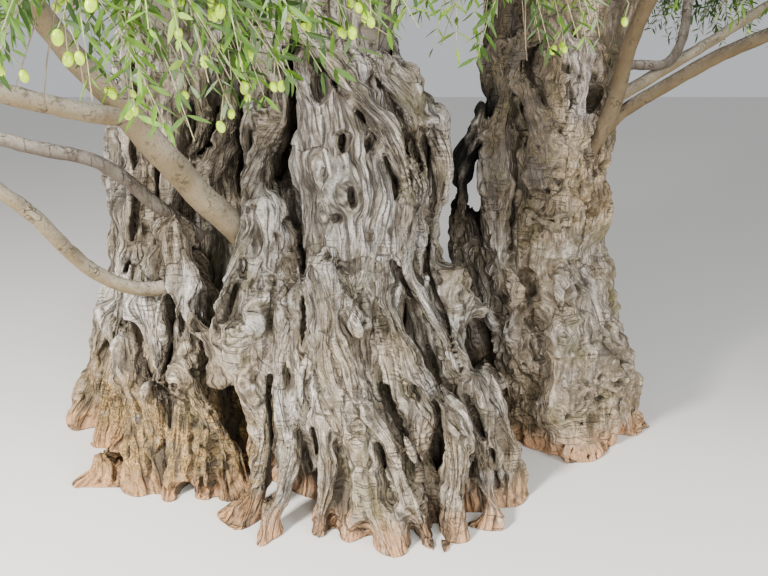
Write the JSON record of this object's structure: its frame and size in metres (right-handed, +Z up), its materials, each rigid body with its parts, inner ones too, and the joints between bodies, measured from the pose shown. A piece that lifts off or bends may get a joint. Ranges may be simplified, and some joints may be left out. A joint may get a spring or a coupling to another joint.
{
  "type": "olive tree",
  "caption": "Ancient olive tree with a broad, fluted and hollowed trunk, a second stem beside it, low boughs and a rounded crown of leaves.",
  "frame": {"origin": "ground level under the middle of the broad trunk, on the flat foot of the wood", "axes": "+Z up, +X to the right as the picture shows the tree, +Y away from the viewer"},
  "size_m": [5.6739, 5.8673, 4.9223],
  "materials": {
    "old_bark": "deeply furrowed, weathered",
    "bough_bark": "smooth living bark",
    "foliage": "leathery leaves"
  },
  "bodies": {
    "root": {"trunk": "old_bark", "second_stem": "old_bark", "bough_left_stout": "bough_bark", "bough_left_stout_outer": "bough_bark", "bough_left_stout_upper": "bough_bark", "bough_left_grey": "bough_bark", "bough_left_low": "bough_bark", "bough_right_upright": "bough_bark", "bough_right_long": "bough_bark", "bough_right_thin": "bough_bark", "bough_right_pale": "bough_bark", "limb_centre": "bough_bark", "limb_left": "bough_bark", "limb_back_left": "bough_bark", "limb_back": "bough_bark", "limb_front": "bough_bark", "limb_front_left": "bough_bark", "limb_stem_top": "bough_bark", "limb_stem_back": "bough_bark", "foliage_front_hanging": "foliage", "foliage_front_left": "foliage", "foliage_left_low": "foliage", "foliage_left": "foliage", "foliage_middle_hanging": "foliage", "foliage_right_low": "foliage", "foliage_right_front": "foliage", "foliage_right_inner": "foliage", "foliage_skirt_1": "foliage", "foliage_skirt_2": "foliage", "foliage_skirt_3": "foliage", "foliage_skirt_4": "foliage", "foliage_skirt_5": "foliage", "foliage_skirt_6": "foliage", "foliage_skirt_7": "foliage", "foliage_skirt_8": "foliage", "foliage_skirt_9": "foliage", "foliage_shoulder_1": "foliage", "foliage_shoulder_2": "foliage", "foliage_shoulder_3": "foliage", "foliage_shoulder_4": "foliage", "foliage_shoulder_5": "foliage", "foliage_shoulder_6": "foliage", "foliage_top_1": "foliage", "foliage_top_2": "foliage", "foliage_top_3": "foliage"}
  },
  "joints": []
}
